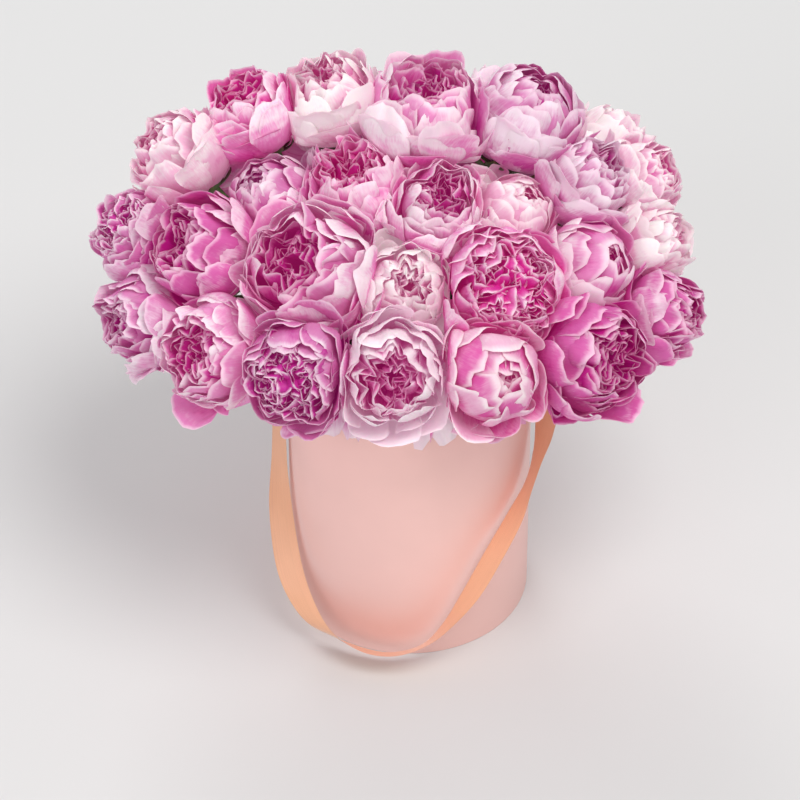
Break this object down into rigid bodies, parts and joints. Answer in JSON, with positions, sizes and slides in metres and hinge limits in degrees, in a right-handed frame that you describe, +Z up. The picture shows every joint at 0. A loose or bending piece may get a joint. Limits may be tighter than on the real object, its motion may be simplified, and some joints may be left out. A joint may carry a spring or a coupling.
{
  "type": "flower box arrangement",
  "caption": "Domed arrangement of light pink peonies standing in a tall round lined box, with a satin ribbon handle hanging in front.",
  "frame": {"origin": "centre of the box's underside, on the box's axis", "axes": "+Z up along the box's axis, -Y towards the front, where the ribbon handle hangs, +X to the right seen from the front"},
  "size_m": [0.5457, 0.4408, 0.5184],
  "materials": {
    "wrapped_board": "matt paper over rolled board, soft satin sheen",
    "liner_plastic": "thin milky plastic",
    "floral_foam": "wet floral foam, dull and crumbly",
    "petals_pink": "soft petals, matt with a faint sheen",
    "petals_mauve": "soft petals, matt with a faint sheen",
    "petals_pale": "soft petals, matt with a faint sheen",
    "petals_deep": "soft petals, matt with a faint sheen",
    "petals_rose": "soft petals, matt with a faint sheen",
    "stem_green": "fresh green stems, sepals and leaves, dull waxy",
    "ribbon_satin": "peach satin, soft sheen",
    "bar_plastic": "moulded plastic"
  },
  "bodies": {
    "root": {"box_wall": "wrapped_board", "box_base": "wrapped_board", "liner_cup": "liner_plastic", "foam_block": "floral_foam", "peony_front_1": "petals_mauve", "peony_front_2": "petals_pink", "peony_front_3": "petals_mauve", "peony_front_4": "petals_pink", "peony_front_5": "petals_pale", "peony_front_6": "petals_deep", "peony_front_7": "petals_deep", "peony_shoulder_1": "petals_mauve", "peony_shoulder_2": "petals_deep", "peony_shoulder_3": "petals_pink", "peony_shoulder_4": "petals_pale", "peony_shoulder_5": "petals_rose", "peony_shoulder_6": "petals_pink", "peony_shoulder_7": "petals_pale", "peony_crown_1": "petals_pale", "peony_crown_2": "petals_mauve", "peony_crown_3": "petals_rose", "peony_crown_4": "petals_pink", "peony_crown_5": "petals_pale", "peony_crown_6": "petals_mauve", "peony_crown_7": "petals_pale", "peony_top_1": "petals_rose", "peony_top_2": "petals_pale", "peony_top_3": "petals_pink", "peony_top_4": "petals_mauve", "peony_back_1": "petals_pink", "peony_back_2": "petals_rose", "peony_back_3": "petals_mauve", "peony_back_4": "petals_pink", "peony_back_5": "petals_pale", "peony_rear_1": "petals_mauve", "peony_rear_2": "petals_pink", "peony_rear_3": "petals_deep", "peony_rear_4": "petals_pale", "peony_rear_5": "petals_rose", "peony_rear_6": "petals_mauve", "peony_rear_7": "petals_pink", "peony_rear_8": "petals_deep", "ribbon_handle": "ribbon_satin", "ribbon_stop_left": "bar_plastic", "ribbon_stop_right": "bar_plastic"}
  },
  "joints": []
}
